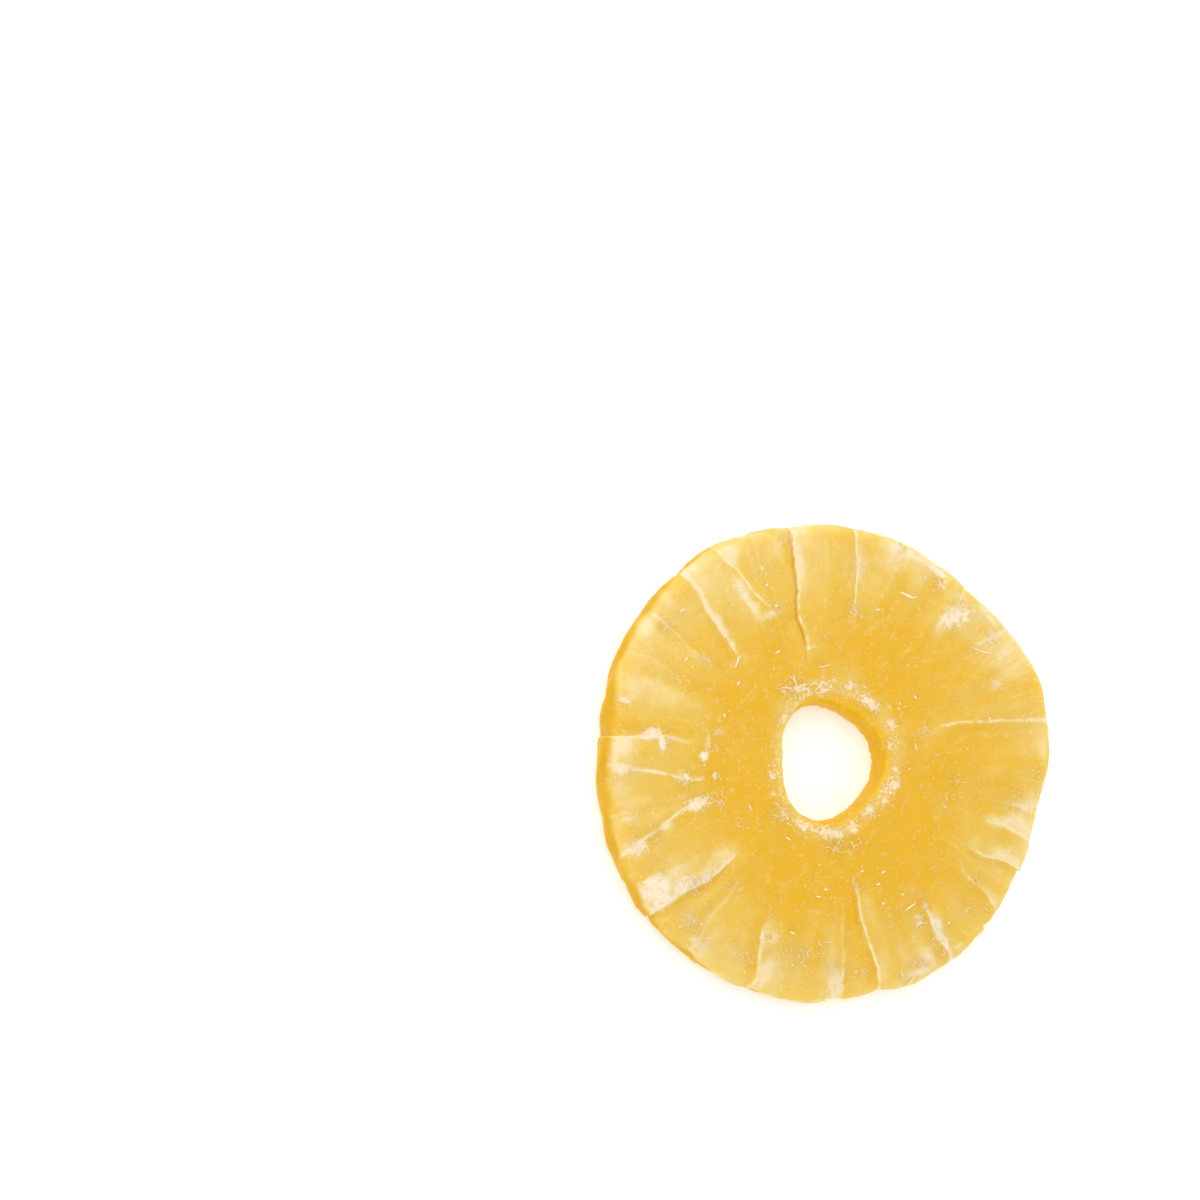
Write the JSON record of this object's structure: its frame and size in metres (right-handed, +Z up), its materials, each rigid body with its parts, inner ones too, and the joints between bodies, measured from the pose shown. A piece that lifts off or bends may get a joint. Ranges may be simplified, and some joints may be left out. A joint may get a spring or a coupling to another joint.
{
  "type": "dried pineapple ring",
  "caption": "Flat ring of dried, candied pineapple: an uneven round slice with a punched core hole, radial clefts and a rounded rim.",
  "frame": {"origin": "on the surface that the ring lies on, under the middle of its box", "axes": "+Z up through the slice, out of its shown face; X and Y lie in the slice, and the hole runs along Z"},
  "size_m": [0.078, 0.0788, 0.0083],
  "materials": {
    "candied_flesh": "satin, slightly translucent candied fruit flesh with a thin frost of sugar"
  },
  "bodies": {
    "root": {"pineapple_ring": "candied_flesh"}
  },
  "joints": []
}
